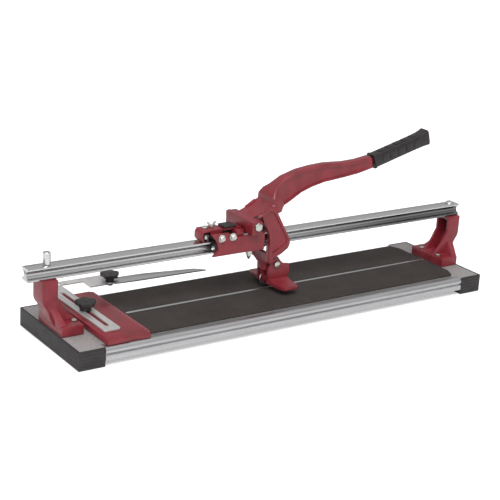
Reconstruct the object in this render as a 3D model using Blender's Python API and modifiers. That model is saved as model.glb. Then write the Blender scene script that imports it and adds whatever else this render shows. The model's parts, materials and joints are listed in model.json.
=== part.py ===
# A manual tile cutter: an extruded base with two mats, a fence and a sliding gauge, two cast
# posts that carry a rail, and a roller carriage whose lever scores and snaps the tile.
# Lengths are in millimetres in a frame centred on the base: +X along the rail, -Y the
# front, +Z up. MM turns them into metres, and FRAME_SHIFT puts the origin at the middle
# of the underside of the whole object's box.

import math

import bmesh
import bpy
from mathutils import Vector

MM = 0.001
GAP = 0.3                     # clearance between touching pieces

# base
BASE_LENGTH = 780.0
BASE_WIDTH = 200.0
DECK_TOP = 29.8
DECK_THICKNESS = 2.6
DECK_HALF_WIDTH = 85.2
DECK_END_HALF_WIDTH = 98.0
CAP_LENGTH = 44.0
CAP_TOP = 30.6
CAP_HALF_WIDTH = 100.5
MAT_TOP = 34.3
MAT_LEFT = -262.0
MAT_RIGHT = 344.0
MAT_OUTER = 84.0
RIDGE_HALF_WIDTH = 2.4

# rail and posts
RAIL_LEFT = -427.3
RAIL_RIGHT = 407.3
RAIL_HALF_WIDTH = 10.5
RAIL_TOP = 132.3
RAIL_BOTTOM = 111.8
RAIL_SCREW_X = 393.0
POST_TOP = 111.5
POST_HALF_WIDTH = 15.8
POST_BOLT_X = 358.5
POST_BOLT_Y = 21.5
FOOT_TOP = 46.0

# fence and gauge
FENCE_LEFT = -341.0
FENCE_STEP = -302.0
FENCE_RIGHT = -264.0
FENCE_FRONT = -96.0
FENCE_REAR = 103.0
FENCE_TOP = 39.8
FENCE_WING_TOP = 36.0
BAR_X = -319.0                # centre line of the slotted bar
BAR_WIDTH = 28.0
BAR_FRONT = -70.0
BAR_REAR = 131.0
BAR_THICKNESS = 2.8
SLOT_WIDTH = 7.0
CLAMP_Y = 18.0
BLADE_PIVOT = (-232.0, 104.0)
GAUGE_REAR = 140.0

# carriage
ROLLER_RADIUS = 8.0
ROLLER_X = (-122.8, -105.5, -84.5)
AXLE_Z = RAIL_TOP + ROLLER_RADIUS + 0.2
PLATE_INNER = 19.0
PLATE_OUTER = 24.0
PIVOT = (-48.4, 156.6)        # lever pivot, X and Z

# lever
CHEEK_INNER = 18.8
CHEEK_OUTER = 25.0
BOSS_OUTER = 38.5
WHEEL_CENTRE = (-1.0, 52.0)
WHEEL_RADIUS = 11.0
FOOT_PIVOT = (8.6, 79.0)
FOOT_SPAN = 51.5
GRIP_START = (203.0, 228.6)
GRIP_END = (321.0, 260.5)

FRAME_SHIFT = Vector((-(RAIL_LEFT + RAIL_RIGHT) / 2, (CAP_HALF_WIDTH - GAUGE_REAR) / 2, 0.0))

FLAT = (0.0, 0.0, 0.0)                             # outline lies in XY
UPRIGHT = (math.pi / 2, 0.0, 0.0)                  # outline lies in XZ, thickness along Y
ALONG = (math.pi / 2, 0.0, math.pi / 2)            # outline lies in YZ, thickness along X


def clear_scene():
    for old in list(bpy.data.objects):
        bpy.data.objects.remove(old, do_unlink=True)


def new_collection(name):
    collection = bpy.data.collections.new(name)
    bpy.context.scene.collection.children.link(collection)
    return collection


def finish(name, colour, roughness, metallic):
    material = bpy.data.materials.new(name)
    material.use_nodes = True
    shader = material.node_tree.nodes["Principled BSDF"]
    shader.inputs["Base Color"].default_value = (*colour, 1.0)
    shader.inputs["Roughness"].default_value = roughness
    shader.inputs["Metallic"].default_value = metallic
    return material


clear_scene()
PARTS = new_collection("tile_cutter")
CUTTERS = new_collection("cutters")
RED = finish("red_paint", (0.34, 0.05, 0.07), 0.42, 0.0)
BLACK = finish("black_plastic", (0.045, 0.04, 0.042), 0.6, 0.0)
RUBBER = finish("mat_rubber", (0.05, 0.042, 0.04), 0.85, 0.0)
ALUMINIUM = finish("aluminium", (0.62, 0.62, 0.63), 0.4, 1.0)
CHROME = finish("chrome", (0.72, 0.72, 0.73), 0.15, 1.0)
SPECKLED = finish("grey_deck", (0.42, 0.39, 0.39), 0.6, 0.3)
ZINC = finish("zinc_steel", (0.6, 0.6, 0.58), 0.35, 1.0)


def empty(name, point, parent=None):
    """A joint's frame; its place in the design frame is kept beside it."""
    holder = bpy.data.objects.new(name, None)
    PARTS.objects.link(holder)
    holder["place"] = point
    set_place(holder, point, parent)
    return holder


def set_place(thing, point, parent):
    thing.parent = parent
    base = Vector(parent["place"]) if parent else -FRAME_SHIFT
    thing.location = (Vector(point) - base) * MM


def solid(name, mesh, point, material, parent=None, turn=FLAT):
    thing = bpy.data.objects.new(name, mesh)
    PARTS.objects.link(thing)
    set_place(thing, point, parent)
    thing.rotation_euler = turn
    mesh.materials.append(material)
    return thing


def helper(mesh, point, parent=None, turn=FLAT):
    """A body that is cut from or joined to another one."""
    thing = bpy.data.objects.new("cutter", mesh)
    CUTTERS.objects.link(thing)
    set_place(thing, point, parent)
    thing.rotation_euler = turn
    thing.hide_render = True
    thing.display_type = 'WIRE'
    return thing


def combine(thing, other, operation):
    modifier = thing.modifiers.new(operation.lower(), 'BOOLEAN')
    modifier.operation = operation
    modifier.object = other


def cut(thing, other):
    combine(thing, other, 'DIFFERENCE')


def join(thing, other):
    combine(thing, other, 'UNION')


def bevel(thing, width, segments=1, angle=35.0):
    modifier = thing.modifiers.new("edges", 'BEVEL')
    modifier.width = width * MM
    modifier.segments = segments
    modifier.limit_method = 'ANGLE'
    modifier.angle_limit = math.radians(angle)


def mesh_of(name, build):
    mesh = bpy.data.meshes.new(name)
    work = bmesh.new()
    build(work)
    work.to_mesh(mesh)
    work.free()
    return mesh


def box(length, width, height):
    def build(work):
        bmesh.ops.create_cube(work, size=1.0)
        bmesh.ops.scale(work, vec=(length * MM, width * MM, height * MM), verts=work.verts)
    return mesh_of("box", build)


def span(low, high):
    """Box mesh and centre between two corners."""
    size = [b - a for a, b in zip(low, high)]
    centre = [(a + b) / 2 for a, b in zip(low, high)]
    return box(*size), centre


def rod(radius, length, sides=20, tip=None):
    end = radius if tip is None else tip

    def build(work):
        bmesh.ops.create_cone(work, cap_ends=True, segments=sides, radius1=radius * MM,
                              radius2=end * MM, depth=length * MM)
    mesh = mesh_of("rod", build)
    if sides > 8:
        mesh.shade_smooth()
        mesh.set_sharp_from_angle(angle=math.radians(40))
    return mesh


def outline(points, thickness):
    """Flat outline, filled and thickened evenly about its plane."""
    curve = bpy.data.curves.new("outline", 'CURVE')
    curve.dimensions = '2D'
    curve.fill_mode = 'BOTH'
    curve.extrude = thickness * MM / 2
    spline = curve.splines.new('POLY')
    spline.points.add(len(points) - 1)
    for target, (x, y) in zip(spline.points, points):
        target.co = (x * MM, y * MM, 0.0, 1.0)
    spline.use_cyclic_u = True
    holder = bpy.data.objects.new("outline", curve)
    bpy.context.scene.collection.objects.link(holder)
    depsgraph = bpy.context.evaluated_depsgraph_get()
    mesh = bpy.data.meshes.new_from_object(holder.evaluated_get(depsgraph))
    bpy.data.objects.remove(holder, do_unlink=True)
    work = bmesh.new()
    work.from_mesh(mesh)
    bmesh.ops.remove_doubles(work, verts=work.verts, dist=1e-6)
    bmesh.ops.dissolve_limit(work, angle_limit=0.01, verts=work.verts, edges=work.edges)
    bmesh.ops.recalc_face_normals(work, faces=work.faces)
    work.to_mesh(mesh)
    work.free()
    return mesh


def loft(sections):
    """Closed body through rings of points, each ring with the same count."""
    def build(work):
        rings = [[work.verts.new(Vector(p) * MM) for p in ring] for ring in sections]
        count = len(rings[0])
        for near, far in zip(rings, rings[1:]):
            for i in range(count):
                j = (i + 1) % count
                work.faces.new((near[i], near[j], far[j], far[i]))
        work.faces.new(reversed(rings[0]))
        work.faces.new(rings[-1])
        bmesh.ops.recalc_face_normals(work, faces=work.faces)
    return mesh_of("loft", build)


def arc(cx, cy, radius, start, end, steps):
    """Points on an arc, angles in degrees."""
    points = []
    for i in range(steps + 1):
        angle = math.radians(start + (end - start) * i / steps)
        points.append((cx + radius * math.cos(angle), cy + radius * math.sin(angle)))
    return points


def turned(name, profile, point, material, parent=None, turn=FLAT, steps=20):
    """Solid of revolution about local Z; the profile runs from top to bottom."""
    def build(work):
        verts = [work.verts.new((r * MM, 0.0, z * MM)) for r, z in profile]
        for a, b in zip(verts, verts[1:]):
            work.edges.new((a, b))
    thing = solid(name, mesh_of(name, build), point, material, parent, turn)
    modifier = thing.modifiers.new("turn", 'SCREW')
    modifier.steps = steps
    modifier.render_steps = steps
    modifier.use_merge_vertices = True
    modifier.merge_threshold = 0.00001
    return thing


def hex_bolt(name, point, radius, flats, head, shank, parent=None, turn=FLAT, washer=0.0):
    """Hexagon bolt: local z=0 under the head or washer, shank downwards."""
    corner = flats / math.sqrt(3)
    bolt = solid(name, rod(corner, head, 6), point, ZINC, parent, turn)
    lift = washer + head / 2
    for vert in bolt.data.vertices:
        vert.co.z += lift * MM
    body = rod(radius, shank + 0.5, 16)
    for vert in body.vertices:
        vert.co.z -= (shank - 0.5) / 2 * MM
    join(bolt, helper(body, point, parent, turn))
    if washer:
        ring = rod(corner * 1.2, washer + 0.2, 20)
        for vert in ring.vertices:
            vert.co.z += (washer + 0.2) / 2 * MM
        join(bolt, helper(ring, point, parent, turn))
    return bolt


# ---------------------------------------------------------------- joints' frames
ROOT = empty("base_frame", (0.0, 0.0, 0.0))
CARRIAGE = empty("carriage_slide", (0.0, 0.0, RAIL_TOP), ROOT)
LEVER = empty("lever_pivot", (PIVOT[0], 0.0, PIVOT[1]), CARRIAGE)
FOOT = empty("foot_pivot", (FOOT_PIVOT[0], 0.0, FOOT_PIVOT[1]), LEVER)
WHEEL = empty("wheel_axis", (WHEEL_CENTRE[0], 0.0, WHEEL_CENTRE[1]), LEVER)
GAUGE = empty("gauge_slide", (BAR_X, CLAMP_Y, FENCE_TOP), ROOT)
BLADE = empty("blade_pivot", (*BLADE_PIVOT, 46.0), GAUGE)


def make_base():
    end = BASE_LENGTH / 2
    wide = end - CAP_LENGTH + GAP
    reach = end - 3.0
    corner = [(wide, DECK_HALF_WIDTH), (wide, DECK_END_HALF_WIDTH), (reach, DECK_END_HALF_WIDTH)]
    right = corner + [(x, -y) for x, y in reversed(corner)]
    deck_outline = right + [(-x, -y) for x, y in right]
    middle = DECK_TOP - DECK_THICKNESS / 2
    deck = solid("deck_plate", outline(deck_outline, DECK_THICKNESS), (0, 0, middle), SPECKLED, ROOT)
    for x in (-POST_BOLT_X, POST_BOLT_X):
        for y in (-POST_BOLT_Y, POST_BOLT_Y):
            cut(deck, helper(rod(3.4, 8.0, 16), (x, y, middle), ROOT))
    for y in (-60.0, 70.0):
        cut(deck, helper(rod(2.4, 8.0, 16), (-290.0, y, middle), ROOT))

    # side profile: flat strip, round bead, groove, lower flange, open underneath
    profile = [(85.6, 29.7)] + arc(93.3, 23.1, 6.6, 90, -52, 10)
    profile += [(99.8, 16.8), (99.8, 8.4), (97.4, 8.4), (97.4, 14.6), (88.2, 14.6), (88.2, 8.4),
                (85.6, 8.4)]
    length = BASE_LENGTH - 2 * CAP_LENGTH - 2 * GAP
    mirrored = [(-u, v) for u, v in reversed(profile)]
    solid("side_profile_rear", outline(profile, length), (0, 0, 0), ALUMINIUM, ROOT, ALONG)
    solid("side_profile_front", outline(mirrored, length), (0, 0, 0), ALUMINIUM, ROOT, ALONG)

    for side, name in ((-1, "end_cap_left"), (1, "end_cap_right")):
        centre = side * (end - CAP_LENGTH / 2)
        cap = solid(name, box(CAP_LENGTH, 2 * CAP_HALF_WIDTH, CAP_TOP), (centre, 0, CAP_TOP / 2),
                    BLACK, ROOT)
        bevel(cap, 1.6, 2)
        well = (end - CAP_LENGTH - 5.0, end - 2.7)
        pocket = (end - CAP_LENGTH - 5.0, end - 6.0)
        for (near, far), half, low, high in (
                (well, DECK_END_HALF_WIDTH + GAP, DECK_TOP - DECK_THICKNESS - GAP, 40.0),
                (pocket, 84.0, 3.0, 28.0)):
            x0, x1 = sorted((side * near, side * far))
            mesh, middle_point = span((x0, -half, low), (x1, half, high))
            cut(cap, helper(mesh, middle_point, ROOT))

    mesh, centre = span((MAT_LEFT + 3, -RIDGE_HALF_WIDTH, DECK_TOP + GAP),
                        (MAT_RIGHT - 5, RIDGE_HALF_WIDTH, MAT_TOP))
    solid("snapping_ridge", mesh, centre, ALUMINIUM, ROOT)
    inner = RIDGE_HALF_WIDTH + 0.4
    thick = MAT_TOP - DECK_TOP - GAP
    plan = [(MAT_LEFT, inner), (MAT_RIGHT, inner), (MAT_RIGHT, 66.0), (MAT_RIGHT - 8, MAT_OUTER),
            (MAT_LEFT, MAT_OUTER)]
    level = MAT_TOP - thick / 2
    rear = solid("mat_rear", outline(plan, thick), (0, 0, level), RUBBER, ROOT)
    front_plan = [(x, -y) for x, y in reversed(plan)]
    front = solid("mat_front", outline(front_plan, thick), (0, 0, level), RUBBER, ROOT)
    bevel(rear, 0.6)
    bevel(front, 0.6)


def make_post(side, name):
    """Channel casting: closed on the outside, hollow towards the tiles, on a flared foot."""
    outer = [(407, POST_TOP), (407, 83)] + arc(389, 83, 18, 0, -45, 5)
    outer += [(397, 61.5), (395, 54), (392.5, FOOT_TOP + 1), (386, 38)]
    inner = [(356, 38), (356, FOOT_TOP + 1), (371, 64), (382, 84), (382, POST_TOP)]
    shell = [(side * x, z) for x, z in outer + inner]
    post = solid(name, outline(shell, 2 * POST_HALF_WIDTH), (0, 0, 0), RED, ROOT, UPRIGHT)

    low_z = DECK_TOP + GAP
    mesh, centre = span((351.5 if side > 0 else -386.9, -41, low_z),
                        (386.9 if side > 0 else -351.5, 41, FOOT_TOP))
    base = helper(mesh, centre, ROOT)
    bevel(base, 1.4, 2)
    join(post, base)

    def ring(x0, x1, half, z):
        return [(side * x0, -half, z), (side * x1, -half, z), (side * x1, half, z),
                (side * x0, half, z)]
    skirt = loft([ring(378, 388, 37.0, FOOT_TOP - 3), ring(378, 388, 37.0, FOOT_TOP + 0.8),
                  ring(384, 395, 15.3, 68)])
    join(post, helper(skirt, (0, 0, 0), ROOT))

    hollow = [(345, FOOT_TOP + 2), (386, FOOT_TOP + 2), (389.5, 56), (392, 64), (397.5, 74),
              (401, 84), (401.5, 105.5), (345, 105.5)]
    recess = outline([(side * x, z) for x, z in hollow], 2 * (POST_HALF_WIDTH - 4.5))
    cut(post, helper(recess, (0, 0, 0), ROOT, UPRIGHT))
    cut(post, helper(rod(3.5, 16.0), (side * RAIL_SCREW_X, 0, 108), ROOT))
    for y in (-POST_BOLT_Y, POST_BOLT_Y):
        cut(post, helper(rod(3.4, 30.0, 16), (side * POST_BOLT_X, y, 36), ROOT))
        cut(post, helper(rod(5.8, 8.0), (side * POST_BOLT_X, y, FOOT_TOP + 2.6), ROOT))
        place = "front" if y < 0 else "rear"
        hex_bolt(name.replace("post", "post_bolt") + "_" + place,
                 (side * POST_BOLT_X, y, FOOT_TOP - 1.4 + GAP), 3.0, 8.0, 3.6, 24.0, ROOT)
    return post


def make_rail():
    groove = arc(RAIL_HALF_WIDTH + 0.36, (RAIL_TOP + RAIL_BOTTOM) / 2, 6.56, 93, 267, 10)
    half = [(RAIL_HALF_WIDTH, RAIL_TOP)] + groove + [(RAIL_HALF_WIDTH, RAIL_BOTTOM)]
    section = half + [(-y, z) for y, z in reversed(half)]
    middle = (RAIL_LEFT + RAIL_RIGHT) / 2
    rail = solid("rail", outline(section, RAIL_RIGHT - RAIL_LEFT), (middle, 0, 0), CHROME, ROOT,
                 ALONG)
    for side in (-1, 1):
        cut(rail, helper(rod(3.5, 30.0), (side * RAIL_SCREW_X, 0, 122), ROOT))
    rise = RAIL_TOP + GAP
    pin = [(0, 19.5), (5.0, 19.5), (6.0, 18.4), (6.0, 0), (3.2, 0), (3.2, -31), (0, -31)]
    turned("stop_pin", pin, (-RAIL_SCREW_X, 0, rise), CHROME, ROOT, steps=24)
    dome = [(0, 4.6), (3.0, 4.3), (5.6, 3.2), (7.4, 1.4), (8.0, 0), (3.2, 0), (3.2, -31), (0, -31)]
    turned("rail_screw", dome, (RAIL_SCREW_X, 0, rise), ZINC, ROOT, steps=24)


def make_fence():
    low = DECK_TOP + GAP
    thick = FENCE_TOP - low
    bar_plan = [(FENCE_LEFT, FENCE_FRONT), (FENCE_STEP, FENCE_FRONT), (FENCE_STEP, FENCE_REAR),
                (FENCE_LEFT, FENCE_REAR)]
    fence = solid("fence", outline(bar_plan, thick), (0, 0, low + thick / 2), RED, ROOT)
    bevel(fence, 1.5, 2)
    wing = FENCE_WING_TOP - low
    wing_plan = [(FENCE_STEP - 4, -92.5), (FENCE_RIGHT - 5, -95.5), (FENCE_RIGHT, -82),
                 (FENCE_RIGHT, 97), (FENCE_RIGHT - 6, FENCE_REAR - 0.5), (FENCE_STEP - 4, 102.5)]
    join(fence, helper(outline(wing_plan, wing), (0, 0, low + wing / 2), ROOT))
    cut(fence, helper(rod(3.2, 30.0, 16), (BAR_X, CLAMP_Y, 36), ROOT))
    for y, place in ((-60.0, "front"), (70.0, "rear")):
        cut(fence, helper(rod(2.3, 8.0, 16), (-290.0, y, low), ROOT))
        head = [(0, 0), (2.0, 0), (2.0, -5.6), (4.2, -5.6), (3.2, -8.0), (0, -8.0)]
        turned("fence_screw_" + place, head, (-290.0, y, low + 2.2), ZINC, ROOT, steps=16)


def lobed_knob(name, point, radius, lobes, hub, hub_height, height, bore, parent=None):
    """Clamp knob with rounded lobes; local z=0 is the underside of its hub."""
    rim = []
    for i in range(lobes * 8):
        angle = 2 * math.pi * i / (lobes * 8)
        reach = radius * (0.9 + 0.1 * math.cos(lobes * angle))
        rim.append((reach * math.cos(angle), reach * math.sin(angle)))
    thick = height - hub_height
    x, y, z = point
    knob = solid(name, outline(rim, thick), (x, y, z + hub_height + thick / 2), BLACK, parent)
    bevel(knob, 1.2, 2, 60.0)
    join(knob, helper(rod(hub, hub_height + 1.0), (x, y, z + (hub_height + 1.0) / 2), parent))
    cut(knob, helper(rod(bore, 2 * height, 16), (x, y, z), parent))
    return knob


def make_gauge():
    low = FENCE_TOP + GAP
    half = BAR_WIDTH / 2
    corner = 5.0
    plan = arc(BAR_X - half + corner, BAR_FRONT + corner, corner, 180, 270, 4)
    plan += arc(BAR_X + half - corner, BAR_FRONT + corner, corner, 270, 360, 4)
    plan += [(BAR_X + half, BAR_REAR), (BAR_X - half, BAR_REAR)]
    bar = solid("slotted_bar", outline(plan, BAR_THICKNESS), (0, 0, low + BAR_THICKNESS / 2),
                ALUMINIUM, GAUGE)
    slot = SLOT_WIDTH / 2
    slot_plan = arc(BAR_X, -50.0, slot, 180, 360, 8) + arc(BAR_X, 98.0, slot, 0, 180, 8)
    cut(bar, helper(outline(slot_plan, 10.0), (0, 0, low), GAUGE))

    stud = [(0, 19.5), (2.6, 19.5), (3.0, 19.0), (3.0, -9.4), (0, -9.4)]
    turned("clamp_stud", stud, (BAR_X, CLAMP_Y, FENCE_TOP), ZINC, ROOT, steps=16)
    lobed_knob("clamp_knob", (BAR_X, CLAMP_Y, low + BAR_THICKNESS + GAP), 17.0, 5, 9.0, 7.8, 14.8,
               3.3, ROOT)

    plate_low = low + BAR_THICKNESS + GAP
    bracket_plan = [(BAR_X - half, 126), (-269, 126), (-269, 99), (-214, 99), (-210, 112),
                    (-214, GAUGE_REAR), (BAR_X - half, GAUGE_REAR)]
    bracket = solid("gauge_bracket", outline(bracket_plan, 2.4), (0, 0, plate_low + 1.2), ALUMINIUM,
                    GAUGE)
    x, y = BLADE_PIVOT
    cut(bracket, helper(rod(3.2, 10.0, 16), (x, y, plate_low), GAUGE))
    for rivet_x, place in ((BAR_X - 9, "left"), (BAR_X + 9, "right")):
        rivet_y = 128.5
        cut(bracket, helper(rod(1.9, 10.0, 12), (rivet_x, rivet_y, plate_low), GAUGE))
        cut(bar, helper(rod(1.9, 10.0, 12), (rivet_x, rivet_y, low), GAUGE))
        head = [(0, 1.8), (1.8, 1.4), (3.0, 0), (1.6, 0), (1.6, -5.4), (0, -5.4)]
        turned("gauge_rivet_" + place, head, (rivet_x, rivet_y, plate_low + 2.4 + GAP), ZINC, GAUGE,
               steps=12)
    stud = [(0, 17.5), (2.6, 17.5), (2.9, 17.0), (2.9, -2.7), (5.0, -2.7), (5.0, -4.5), (0, -4.5)]
    turned("blade_stud", stud, (x, y, plate_low + 2.4), ZINC, GAUGE, steps=16)

    blade_low = plate_low + 2.4 + GAP
    plan = [(-62, 83.5), (-78, 96.5), (-168, 112), (-222, 114)]
    plan += arc(x, y, 12.5, 60, 240, 10) + [(-226, 90), (-190, 87.5), (-85, 85)]
    blade = solid("gauge_blade", outline(plan, 2.4), (0, 0, blade_low + 1.2), ALUMINIUM, BLADE)
    cut(blade, helper(rod(3.2, 10.0, 16), (x, y, blade_low), BLADE))
    lobed_knob("blade_knob", (x, y, blade_low + 2.4 + GAP), 16.0, 5, 7.0, 7.0, 13.5, 3.2, GAUGE)


def plate_outline():
    """Side plate of the carriage with a fish-tail end and the ear of the lever pivot."""
    px, pz = PIVOT
    points = [(-123.0, 147.6), (-112.5, 135.0), (-109.5, 121.0), (-119.5, 111.4), (-23.0, 111.4),
              (-23.0, 139.0), (px + 12.0, 139.0), (px + 8.2, 144.0)]
    points += arc(px, pz, 5.2, -30, 210, 12)
    points += [(px - 3.0, pz - 14.0), (px - 3.0, 139.0), (-75.0, 139.0), (-93.0, 147.6)]
    return points


def make_carriage():
    px, pz = PIVOT
    thick = PLATE_OUTER - PLATE_INNER
    middle = (PLATE_OUTER + PLATE_INNER) / 2
    for side, place in ((-1, "front"), (1, "rear")):
        plate = solid("carriage_plate_" + place, outline(plate_outline(), thick),
                      (0, side * middle, 0), RED, CARRIAGE, UPRIGHT)
        cut(plate, helper(rod(3.3, 12.0), (px, side * middle, pz), CARRIAGE, UPRIGHT))
        for x in ROLLER_X[1:]:
            cut(plate, helper(rod(3.3, 12.0, 16), (x, side * middle, AXLE_Z), CARRIAGE, UPRIGHT))

    mesh, centre = span((-74.5, 0.3 - PLATE_INNER, 133.5), (-60.0, PLATE_INNER - 0.3, 148.6))
    solid("carriage_bridge", mesh, centre, RED, CARRIAGE)

    mesh, centre = span((-92.0, -10.5, 150.8), (-69.0, 10.5, 154.6))
    bumper = solid("rubber_bumper", mesh, centre, RUBBER, CARRIAGE)
    bevel(bumper, 1.5, 2)

    for x, number in zip(ROLLER_X, ("1", "2", "3")):
        ring = rod(ROLLER_RADIUS, 7.6, 28)
        axis = empty("roller_axis_" + number, (x, 0.0, AXLE_Z), CARRIAGE)
        body = solid("roller_" + number, ring, (x, 0, AXLE_Z), BLACK, axis, UPRIGHT)
        cut(body, helper(rod(3.3, 20.0, 16), (x, 0, AXLE_Z), axis, UPRIGHT))
    for x, number in zip(ROLLER_X[1:], ("2", "3")):
        hex_bolt("roller_axle_" + number, (x, -PLATE_OUTER - GAP, AXLE_Z), 3.0, 9.0, 4.2,
                 2 * PLATE_OUTER + 8.0, CARRIAGE, UPRIGHT, washer=1.0)
        nut = rod(5.4, 5.0, 6)
        rear = solid("roller_nut_" + number, nut, (x, PLATE_OUTER + GAP + 2.5, AXLE_Z), ZINC,
                     CARRIAGE, UPRIGHT)
        cut(rear, helper(rod(3.3, 20.0, 16), (x, PLATE_OUTER, AXLE_Z), CARRIAGE, UPRIGHT))

    strap = [(-60.3, 150.5), (-97.5, 150.5), (-97.5, 152.2)] + arc(-126.5, 145.2, 7.0, 90, 180, 5)
    strap += [(-133.5, 137.5), (-130.5, 133.2), (-127.5, 133.2), (-131.4, 138.0), (-131.4, 145.0)]
    strap += arc(-127.5, 145.0, 3.9, 180, 90, 4) + [(-60.3, 148.9)]
    nose = solid("nose_bracket", outline(strap, 23.0), (0, 0, 0), RED, CARRIAGE, UPRIGHT)
    wall = [(-132.6, 140.0), (-132.6, 146.0), (-127.0, 150.2), (-109.5, 150.2), (-113.0, 136.0),
            (-129.0, 136.0)]
    join(nose, helper(outline(wall, 3.2), (0, 9.9, 0), CARRIAGE, UPRIGHT))
    mesh, centre = span((-118.0, -11.5, 144.2), (-96.5, -9.5, 149.5))
    join(nose, helper(mesh, centre, CARRIAGE))
    x = ROLLER_X[0]
    cut(nose, helper(rod(3.3, 12.0, 16), (x, 10.0, AXLE_Z), CARRIAGE, UPRIGHT))
    hex_bolt("roller_axle_1", (x, -4.6, AXLE_Z), 3.0, 8.0, 4.0, 19.0, CARRIAGE, UPRIGHT)
    for hole in (-122.0, -110.0):
        cut(nose, helper(rod(2.3, 12.0, 12), (hole, 0, 150.0), CARRIAGE))
    hex_bolt("nose_bolt", (-122.0, 0, 152.5), 2.0, 8.0, 3.6, 3.0, CARRIAGE)
    make_wing_screw((-110.0, 0.0, 152.5))

    shoe = [(18.7, 114.2), (18.7, 130.0), (11.2, 130.0), (11.2, 127.6), (7.0, 126.4), (5.3, 124.4),
            (5.3, 119.6), (7.0, 117.6), (11.2, 116.4), (11.2, 114.2)]
    for side, place in ((1, "rear"), (-1, "front")):
        section = [(side * y, z) for y, z in shoe]
        body = solid("guide_shoe_" + place, outline(section, 82.0), (-72.0, 0, 0), BLACK, CARRIAGE,
                     ALONG)
        cut(body, helper(rod(1.9, 20.0, 12), (-113.0, side * 15.0, 122.5), CARRIAGE, ALONG))
        head = [(0, 2.6), (2.4, 2.4), (3.4, 1.2), (3.4, 0), (1.6, 0), (1.6, -8.0), (0, -8.0)]
        turned("shoe_screw_" + place, head, (-113.0 - GAP, side * 15.0, 122.5), ZINC, CARRIAGE,
               (0, -math.pi / 2, 0), 16)

    screw = [(0, 16.8), (2.4, 16.8), (2.4, 10.5), (5.4, 10.5), (5.4, 5.0), (4.0, 4.6), (4.0, 1.8),
             (1.2, -3.6), (0, -3.6)]
    turned("adjusting_screw", screw, (-46.0, -15.0, 99.5), ZINC, CARRIAGE, steps=16)
    cut(bpy.data.objects["guide_shoe_front"],
        helper(rod(2.7, 12.0, 12), (-46.0, -15.0, 112.0), CARRIAGE))

    hex_bolt("pivot_bolt", (px, -BOSS_OUTER - GAP, pz), 3.0, 12.0, 5.0, 2 * BOSS_OUTER + 8.0,
             CARRIAGE, UPRIGHT)
    nut = solid("pivot_nut", rod(6.9, 6.0, 6), (px, BOSS_OUTER + GAP + 3.0, pz), ZINC, CARRIAGE,
                UPRIGHT)
    cut(nut, helper(rod(3.3, 20.0), (px, BOSS_OUTER, pz), CARRIAGE, UPRIGHT))


def make_wing_screw(point):
    x, y, z = point
    axis = empty("wing_screw_axis", point, CARRIAGE)
    body = solid("wing_screw", rod(3.2, 4.0, 16), (x, y, z + 2.0), ZINC, axis)
    join(body, helper(rod(2.0, 6.0, 12), (x, y, z), axis))
    for side in (-1, 1):
        wing = [(side * 1.0, 1.0), (side * 3.0, 1.0), (side * 8.2, 8.0), (side * 7.2, 10.0),
                (side * 4.6, 9.0), (side * 1.0, 3.8)]
        join(body, helper(outline(wing, 1.8), (x, y, z), axis, UPRIGHT))


# lever stations: top edge, lower edge and half width
ARM = [((-57.3, 163.9), (-57.3, 162.1), 25.2), ((-45.5, 164.1), (-44.0, 162.1), 25.2),
       ((-24.0, 173.6), (-20.5, 168.4), 25.2), ((-8.0, 184.0), (2.0, 168.0), 24.9),
       ((-8.5, 193.5), (9.0, 169.4), 23.5), ((-3.5, 203.0), (14.0, 172.0), 18.5),
       ((4.0, 208.5), (20.5, 176.0), 13.5), ((21.5, 221.0), (37.0, 181.5), 9.6),
       ((49.0, 229.8), (57.0, 192.0), 8.3), ((76.0, 233.6), (78.0, 199.0), 8.0),
       ((104.0, 235.4), (103.0, 204.6), 8.0), ((143.0, 233.6), (142.0, 208.2), 8.0),
       ((170.0, 234.6), (172.0, 211.8), 8.2), ((196.5, 238.4), (202.0, 218.2), 8.6)]

CHEEK = [(-31.5, 171.3), (-15.2, 181.0), (-7.1, 181.3), (4.6, 160.7), (27.3, 120.7), (26.8, 113.7),
         (23.8, 107.2), (10.0, 98.7), (-3.5, 93.5), (-4.5, 86.0), (-12.6, 86.0), (-12.6, 103.2),
         (-12.1, 117.3), (-13.6, 131.6), (-18.6, 144.5), (-25.2, 153.2), (-27.8, 161.3)]
CHEEK_PANEL = [(-14.9, 175.0), (-6.2, 169.9), (22.0, 122.3), (20.0, 115.0), (-5.7, 101.4),
               (-8.5, 110.0), (-9.0, 120.0), (-10.5, 133.0), (-15.5, 146.5), (-22.0, 156.0),
               (-26.0, 168.0)]


def arm_sections():
    """Rings along the lever with chamfered corners."""
    rings = []
    for (x1, z1), (x0, z0), half in ARM:
        reach = math.hypot(x1 - x0, z1 - z0)
        edge = min(2.0, half / 4, reach / 4)
        ux, uz = (x1 - x0) / reach * edge, (z1 - z0) / reach * edge
        rings.append([(x0, -half + edge, z0), (x0, half - edge, z0), (x0 + ux, half, z0 + uz),
                      (x1 - ux, half, z1 - uz), (x1, half - edge, z1), (x1, -half + edge, z1),
                      (x1 - ux, -half, z1 - uz), (x0 + ux, -half, z0 + uz)])
    return rings


def web_recess(side):
    """Body that thins the arm's web on one side, leaving a flange above and below."""
    rings = []
    for (x1, z1), (x0, z0), half in ARM[6:14]:
        depth = 2.7 if x1 < 190 else -0.3
        reach = math.hypot(x1 - x0, z1 - z0)
        ux, uz = (x1 - x0) / reach, (z1 - z0) / reach
        top = (x1 - 5.5 * ux, z1 - 5.5 * uz)
        low = (x0 + 3.5 * ux, z0 + 3.5 * uz)
        near, far = side * (half - depth), side * (half + 6.0)
        rings.append([(top[0], near, top[1]), (top[0], far, top[1]), (low[0], far, low[1]),
                      (low[0], near, low[1])])
    return loft(rings)


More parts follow.
